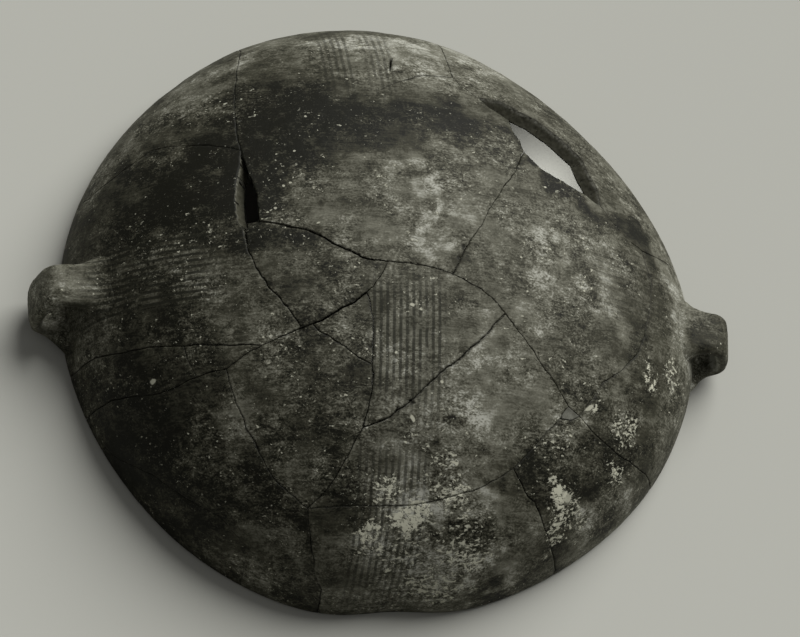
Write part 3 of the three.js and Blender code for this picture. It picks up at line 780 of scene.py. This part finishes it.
def slipped_clay(name):
    """Burnished slip on low-fired clay.

    The slip was rubbed with a pebble, so it is smooth and dark, with a faint sheen. Where
    it has worn thin the paler clay shows through, matt and speckled.
    """
    finish = bpy.context.scene.bowl_finish
    material, tree, shader = new_material(name)
    place = place_in_mm(tree)
    tone, grown, outside, in_break, chipped, away = (
        add(tree, "ShaderNodeAttribute", attribute_name=layer).outputs["Fac"]
        for layer in ("pale", "grown", "outside", "break_face", "chipped", "from_break"))

    # Burnishing drew the mottling out across the bowl, and it is busier in some places
    shaken = ragged(tree, place, amount=2.0, size=12.0)
    drawn = add(tree, "ShaderNodeMapping", {"Vector": shaken, "Scale": (0.72, 1, 1)})
    busy = speckle(tree, place, size=22.0, low=0.38, high=0.64, detail=3.0)
    busy = add(tree, "ShaderNodeMapRange", {"Value": busy, "To Min": 0.3, "To Max": 1.05})
    busy = add(tree, "ShaderNodeMath", {0: grown, 1: 0.9, 2: busy}, operation="MULTIPLY_ADD")
    pale, stroke = worn_slip(tree, shaken, drawn, tone, busy)
    look = add(tree, "ShaderNodeValToRGB", {"Fac": pale})
    ramp = look.color_ramp
    ramp.elements[0].position, ramp.elements[0].color = 0.05, opaque(finish.cloud)
    ramp.elements[1].position, ramp.elements[1].color = 1.0, opaque(finish.rubbed)
    for position, colour_there in ((0.33, finish.slip), (0.66, finish.worn)):
        ramp.elements.new(position).color = opaque(colour_there)

    # Paint and lime lie on the outside, and breaks, dirt and the painted shade of the chips go
    # over them
    lines = brush_lines(tree, place, finish.line_spacing / MM, BRUSH_BANDS)
    for share in (outside, 0.9):
        lines = add(tree, "ShaderNodeMath", {0: lines, 1: share}, operation="MULTIPLY")
    lime, crust = lime_deposit(tree, place, drawn, tone, grown, busy)
    lime = add(tree, "ShaderNodeMath", {0: lime, 1: outside}, operation="MULTIPLY")
    dirt_and_shade = dirt_and_shade_in_joints(tree, place, away, in_break, chipped)
    for share, over in ((lines, opaque(finish.paint)), (lime, opaque(finish.crust)),
                        (in_break, clay_and_shade_in_break(tree, place, outside, tone)),
                        (dirt_and_shade, opaque(finish.dirt_and_shade))):
        look = add(tree, "ShaderNodeMix", {"Factor": share, "A": look, "B": over},
                   data_type="RGBA")
    tree.links.new(look.outputs[2], shader.inputs["Base Color"])

    # Slip has its sheen where it is thick, clay and lime are matt
    gloss = add(tree, "ShaderNodeMapRange",
                {"Value": pale, "From Min": 0.1, "From Max": 0.8, "To Min": 0.6,
                 "To Max": 0.85})
    matt = add(tree, "ShaderNodeMath", {0: lime, 1: in_break}, operation="MAXIMUM")
    rough = add(tree, "ShaderNodeMix", {"Factor": matt, "A": gloss, "B": 0.92},
                data_type="FLOAT")
    tree.links.new(rough.outputs[0], shader.inputs["Roughness"])
    shader.inputs["IOR"].default_value = 1.5
    shader.inputs["Specular IOR Level"].default_value = 0.12

    # Grain of the clay, the strokes and the thickness of the crust
    height = add(tree, "ShaderNodeMath", {0: stroke, 1: 0.06}, operation="MULTIPLY")
    for size, weight in ((0.9, 0.09), (2.6, 0.12)):
        grain = add(tree, "ShaderNodeTexNoise",
                    {"Vector": place, "Scale": 1 / size, "Detail": 3.0, "Roughness": 0.6})
        height = add(tree, "ShaderNodeMath", {0: grain.outputs["Fac"], 1: weight, 2: height},
                     operation="MULTIPLY_ADD")
    height = add(tree, "ShaderNodeMath", {0: crust, 1: 0.3, 2: height},
                 operation="MULTIPLY_ADD")
    bump = add(tree, "ShaderNodeBump", {"Strength": 0.6, "Distance": 1 * MM, "Height": height})
    tree.links.new(bump.outputs[0], shader.inputs["Normal"])
    return material


def plaster_infill(name):
    """Tinted plaster, smoothed with a blade, so it is even and matt."""
    finish = bpy.context.scene.bowl_finish
    material, tree, shader = new_material(name)
    place = place_in_mm(tree)
    cloud = speckle(tree, place, size=4.0, low=0.3, high=0.7, detail=4.0)
    look = add(tree, "ShaderNodeMix",
               {"Factor": cloud, "A": opaque(finish.slip), "B": opaque(finish.infill)},
               data_type="RGBA")
    tree.links.new(look.outputs[2], shader.inputs["Base Color"])
    shader.inputs["Roughness"].default_value = 0.85
    grain = add(tree, "ShaderNodeTexNoise", {"Vector": place, "Scale": 1 / 0.7, "Detail": 2.0})
    bump = add(tree, "ShaderNodeBump",
               {"Strength": 0.4, "Distance": 0.1 * MM, "Height": grain.outputs["Fac"]})
    tree.links.new(bump.outputs[0], shader.inputs["Normal"])
    return material


def pale_paper(name):
    """Seamless pale paper under the bowl, quite matt."""
    stage = bpy.context.scene.bowl_stage
    material, _, shader = new_material(name)
    shader.inputs["Base Color"].default_value = opaque(stage.floor)
    shader.inputs["Roughness"].default_value = 1.0
    shader.inputs["Specular IOR Level"].default_value = 0.0
    return material


# How pale each sherd is, from 0 to 1
SHERD_TONES = {
    "sherd_belly_west": 0.35, "sherd_belly_east": 0.46, "sherd_crown": 0.42,
    "sherd_handle_east": 0.4, "sherd_handle_west": 0.32, "sherd_painted_band": 0.42,
    "sherd_rim_north_east": 0.44, "sherd_rim_north_west": 0.32, "sherd_rim_south": 0.44,
    "sherd_rim_south_east": 0.32, "sherd_rim_south_west": 0.24, "sherd_rim_strip": 0.22,
    "sherd_rim_wedge": 0.26, "sherd_shoulder_east": 0.44, "sherd_small_triangle": 0.4,
    "sherd_tongue": 0.3, "sherd_wedge": 0.3,
}
# How pale each handle is, and how much paler its loop is made by dust and painted fill light in
# its shaded hollow
HANDLE_TONES = {"handle_east": (0.32, 0.6), "handle_west": (0.44, 0.1)}


class BOWL_OT_sherds(bpy.types.Operator):
    """Model the worn sherds of the wall over their solids"""

    bl_idname = "bowl.sherds"
    bl_label = "Sherds"

    edge_zone = 2.5 * MM        # the fit of a joint matters this near to it
    skin_fade = 1.2 * MM        # the slip goes over into the break's clay over this depth
    tight_shift = 0.35          # a tight joint shows as if it were this many mm away

    def execute(self, context):
        material = slipped_clay("burnished_slip_on_clay")
        for node in SHERDS:
            piece = take_solid(node)
            self.shape(piece, context.scene.bowl_wear, SHERD_TONES[node], other_sherds(node))
            finish_piece(piece, node, material)
        return {"FINISHED"}

    def shape(self, piece, wear, tone, around):
        """Gives a sherd the even curve of the wall, its worn edges and its attributes."""
        mesh = piece.data
        tree = sort_faces(mesh)[2]
        split_edges(piece, wear.mesh_size, tree, wear.break_mesh_size)
        outer, inner, _ = sort_faces(mesh)
        points = read_points(mesh)
        gap = distance_to(tree, points, FAR_FROM_BREAK)
        round_out(points)
        set_joints(points, read_normals(mesh), gap, around)
        bend_breaks(points)
        settle_on_wall(points, outer, inner)
        wear_base(points, outer)
        model_wall(points)
        depth = np.linalg.norm(points, axis=1) * (1 / outside_share(points) - 1)
        write_points(mesh, points)
        tight = np.zeros(len(points))
        beside = gap < self.edge_zone
        tight[beside] = tightness(points[beside])
        chipped = wear_breaks(points, read_normals(mesh), outer, inner, gap, tight)
        write_points(mesh, points)
        store(mesh, outside=np.clip(1.6 - depth / self.skin_fade, 0, 1),
              from_break=gap / MM + self.tight_shift * tight,
              break_face=(gap < IN_BREAK) & ~outer, chipped=chipped)
        paint_attributes(mesh, points, tone)


class BOWL_OT_infill(bpy.types.Operator):
    """Model the small filling between three sherds over its solid"""

    bl_idname = "bowl.infill"
    bl_label = "Infill"

    def execute(self, context):
        piece = take_solid(INFILL)
        mesh = piece.data
        split_edges(piece, context.scene.bowl_wear.break_mesh_size)
        outer, inner, _ = sort_faces(mesh)
        points = read_points(mesh)
        round_out(points)
        bend_breaks(points)
        settle_on_wall(points, outer, inner)
        model_wall(points)
        write_points(mesh, points)
        finish_piece(piece, INFILL, plaster_infill("tinted_plaster"))
        return {"FINISHED"}


class BOWL_OT_handles(bpy.types.Operator):
    """Model the strap handles with the clay that was smoothed on round their roots"""

    bl_idname = "bowl.handles"
    bl_label = "Strap handles"

    def execute(self, context):
        wear = context.scene.bowl_wear
        material = slipped_clay("worn_slip_on_handles")
        fine_enough_to_bend = 1.5 * MM
        for node in HANDLES:
            piece = take_solid(node)
            split_edges(piece, fine_enough_to_bend)
            self.lute(piece.data, wear.luting)
            apply_modifier(piece, "REMESH", mode="VOXEL", voxel_size=wear.handle_mesh_size,
                           adaptivity=0)
            apply_modifier(piece, "SMOOTH", factor=0.5, iterations=16)
            self.dent(piece.data)
            points = read_points(piece.data)
            nowhere = np.zeros(len(points))
            store(piece.data, outside=nowhere + 1, from_break=nowhere + FAR_FROM_BREAK / MM,
                  break_face=nowhere, chipped=nowhere)
            tone = self.tones(points, read_normals(piece.data), SHERD_TONES["sherd_" + node],
                              *HANDLE_TONES[node])
            paint_attributes(piece.data, points, tone)
            finish_piece(piece, node, material)
        return {"FINISHED"}

    def tones(self, points, normals, wall_tone, handle_tone, dust_and_painted_fill):
        """How pale a handle is: it takes the wall's tone at its root, and dust and painted fill
        light in its loop.
        """
        root, blend = 1 * MM, 7 * MM
        reach = np.linalg.norm(points, axis=1)
        off = np.clip((reach * (1 - 1 / outside_share(points)) - root) / blend, 0, 1)
        facing_in = np.clip(-1.2 * np.sum(normals * points, axis=1) / reach, 0, 1)
        # Faces turned in towards the wall are made paler: dust, and painted fill light in the
        # hollow of the loop
        return wall_tone + (handle_tone - wall_tone) * off + dust_and_painted_fill * facing_in

    def lute(self, mesh, width):
        """Spreads the root of a handle over the wall in a fillet, and sinks its edge."""
        edge_sunk, edge_height = 1.6 * MM, 3 * MM
        floor_gap, floor_fade = 1 * MM, 5 * MM
        points = read_points(mesh)
        normals = read_normals(mesh)
        reach = np.linalg.norm(points, axis=1, keepdims=True)
        rays = points / reach
        off = (reach * (1 - 1 / outside_share(points)[:, None]))[:, 0]
        across = np.abs(points[:, 0])
        taper = np.clip(3 * (across - across.min()) / np.ptp(across), 0, 1)
        sunk = 0.9 * np.maximum(off, 0) * (1 - taper * taper * (3 - 2 * taper))
        points -= rays * sunk[:, None]
        off -= sunk
        along = along_wall(normals, rays)
        near = np.clip(1 - off / width, 0, 1)
        fillet = width * (1 - np.sqrt(1 - 0.99 * near * near))
        uneven = 0.8 + 0.5 * clouds(points, 9 * MM, seed=3.0)
        clear_of_floor = np.clip((points[:, 2] - floor_gap) / floor_fade, 0, 1)
        points += along * (fillet * uneven * clear_of_floor)[:, None]
        points -= rays * (edge_sunk * np.clip(1 - off / edge_height, 0, 1) ** 2)[:, None]
        write_points(mesh, points)

    def dent(self, mesh):
        """Leaves the dents of the fingers on a handle, and keeps it off the floor."""
        deep, shallow, fingertip, pit = 0.3 * MM, 0.14 * MM, 12 * MM, 3 * MM
        off_floor = 0.3 * MM
        points = read_points(mesh)
        dents = deep * clouds(points, fingertip, seed=6.0)
        dents += shallow * clouds(points, pit, octaves=2, seed=8.0)
        points += read_normals(mesh) * dents[:, None]
        model_wall(points)
        points[:, 2] = np.maximum(points[:, 2], off_floor)
        write_points(mesh, points)


class BOWL_OT_stage(bpy.types.Operator):
    """Lay the pale floor, set the soft lamps and the camera"""

    bl_idname = "bowl.stage"
    bl_label = "Stage"

    def execute(self, context):
        scene = context.scene
        self.floor()
        self.lamps(scene)
        self.camera(scene)
        scene.view_settings.view_transform = "Standard"
        return {"FINISHED"}

    def floor(self):
        bpy.ops.object.select_all(action="DESELECT")
        bpy.ops.mesh.primitive_plane_add(size=12)
        floor = bpy.context.object
        floor.name = "paper_floor"
        floor.data.materials.append(pale_paper("pale_paper"))

    def lamps(self, scene):
        """A broad key from the far right, an even fill from the room and a weak inner lamp.

        The inner lamp lights the floor that is seen through the far opening.
        """
        world = bpy.data.worlds.new("room")
        world.use_nodes = True
        room = world.node_tree.nodes["Background"]
        room.inputs["Color"].default_value = (1, 1, 1, 1)
        room.inputs["Strength"].default_value = 0.18
        scene.world = world
        bpy.ops.object.light_add(type="SUN")
        key = bpy.context.object
        key.name = "key_lamp"
        key.data.energy = 4.2
        key.data.angle = math.radians(50)
        towards = Vector((0.44, 0.54, 0.66))
        key.rotation_euler = towards.to_track_quat("Z", "Y").to_euler()
        bpy.ops.object.light_add(type="AREA", location=(0.086, 0.080, 0.030))
        glow = bpy.context.object
        glow.name = "gap_lamp"
        glow.data.shape = "DISK"
        glow.data.size = 0.03
        glow.data.energy = 0.017
        glow.visible_camera = False

    def camera(self, scene):
        """Looks at the bowl from the photograph's side."""
        stage = scene.bowl_stage
        aim = Vector(mouth()) + Vector((0, 0, stage.aim_height))
        turn = stage.azimuth
        back = Vector((math.sin(turn) * math.cos(stage.elevation),
                       -math.cos(turn) * math.cos(stage.elevation),
                       math.sin(stage.elevation)))
        side = Vector((math.cos(turn), math.sin(turn), 0))
        up = back.cross(side)
        right = math.cos(stage.roll) * side + math.sin(stage.roll) * up
        top = back.cross(right)
        bpy.ops.object.camera_add()
        camera = bpy.context.object
        axes = Matrix((right, top, back)).transposed().to_4x4()
        camera.matrix_world = Matrix.Translation(aim + stage.distance * back) @ axes
        camera.data.sensor_width = 36
        camera.data.lens = stage.focal
        camera.data.shift_x, camera.data.shift_y = stage.frame_shift
        scene.camera = camera


class BOWL_PT_panel(bpy.types.Panel):
    """Lists the steps and the values that they use"""

    bl_idname = "BOWL_PT_panel"
    bl_label = "Mended Bowl"
    bl_space_type = "VIEW_3D"
    bl_region_type = "UI"
    bl_category = "Bowl"

    def draw(self, context):
        layout = self.layout
        for operator in OPERATORS:
            layout.operator(operator.bl_idname)
        for group, kind in GROUPS.items():
            box = layout.box()
            for field in kind.__annotations__:
                box.prop(getattr(context.scene, group), field)


GROUPS = {"bowl_form": BowlForm, "bowl_wear": BowlWear, "bowl_finish": BowlFinish,
          "bowl_stage": BowlStage}
OPERATORS = (BOWL_OT_sherds, BOWL_OT_infill, BOWL_OT_handles, BOWL_OT_stage)


def register():
    for kind in (*GROUPS.values(), *OPERATORS, BOWL_PT_panel):
        bpy.utils.register_class(kind)
    for name, kind in GROUPS.items():
        setattr(bpy.types.Scene, name, PointerProperty(type=kind))


def unregister():
    for name in GROUPS:
        delattr(bpy.types.Scene, name)
    for kind in (BOWL_PT_panel, *reversed(OPERATORS), *reversed(GROUPS.values())):
        bpy.utils.unregister_class(kind)


def main():
    register()
    bpy.ops.bowl.sherds()
    bpy.ops.bowl.infill()
    bpy.ops.bowl.handles()
    bpy.ops.bowl.stage()


if __name__ == "__main__":
    main()
